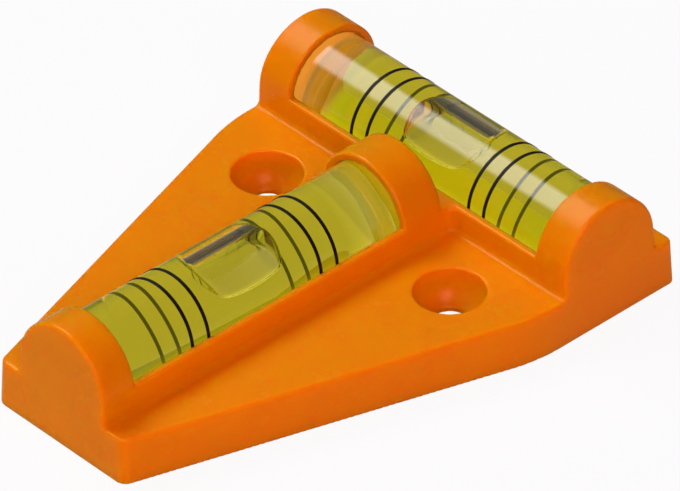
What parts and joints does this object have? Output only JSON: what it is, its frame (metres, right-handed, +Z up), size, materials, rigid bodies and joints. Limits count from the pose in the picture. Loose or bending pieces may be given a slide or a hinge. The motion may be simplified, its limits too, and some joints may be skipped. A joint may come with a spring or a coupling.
{
  "type": "spirit level",
  "caption": "Small screw-down spirit level: a wedge-shaped moulded housing with a barrel vial along it and another across its wide end, for levelling a surface in both directions.",
  "frame": {"origin": "under the middle of the part, on the plane of the plate's rim", "axes": "+Z up, +Y along the part towards its wide end, +X across it"},
  "size_m": [0.053, 0.072, 0.016],
  "materials": {
    "housing": "satin moulded plastic",
    "acrylic": "clear polished acrylic",
    "liquid": "clear yellow-green liquid",
    "air": "air bubble",
    "ink": "printed ink",
    "adhesive": "cured hot-melt adhesive"
  },
  "bodies": {
    "level": {"housing": "housing", "cross_tube": "acrylic", "cross_cap": "acrylic", "cross_liquid": "liquid", "cross_ring_1": "ink", "cross_ring_2": "ink", "cross_ring_3": "ink", "cross_ring_4": "ink", "cross_cap_adhesive": "adhesive", "cross_end_adhesive": "adhesive", "long_tube": "acrylic", "long_cap": "acrylic", "long_liquid": "liquid", "long_ring_1": "ink", "long_ring_2": "ink", "long_ring_3": "ink", "long_ring_4": "ink", "long_cap_adhesive": "adhesive", "long_end_adhesive": "adhesive"},
    "cross_air": {"cross_bubble": "air"},
    "long_air": {"long_bubble": "air"}
  },
  "joints": [
    {"name": "cross_bubble_slide", "type": "slide", "parent": "level", "child": "cross_air", "axis": [1, 0, 0], "range_m": [-0.0112, 0.0167], "stiffness_N_per_m": 0.5},
    {"name": "long_bubble_slide", "type": "slide", "parent": "level", "child": "long_air", "axis": [0, 1, 0], "range_m": [-0.0167, 0.0112], "stiffness_N_per_m": 0.5}
  ]
}
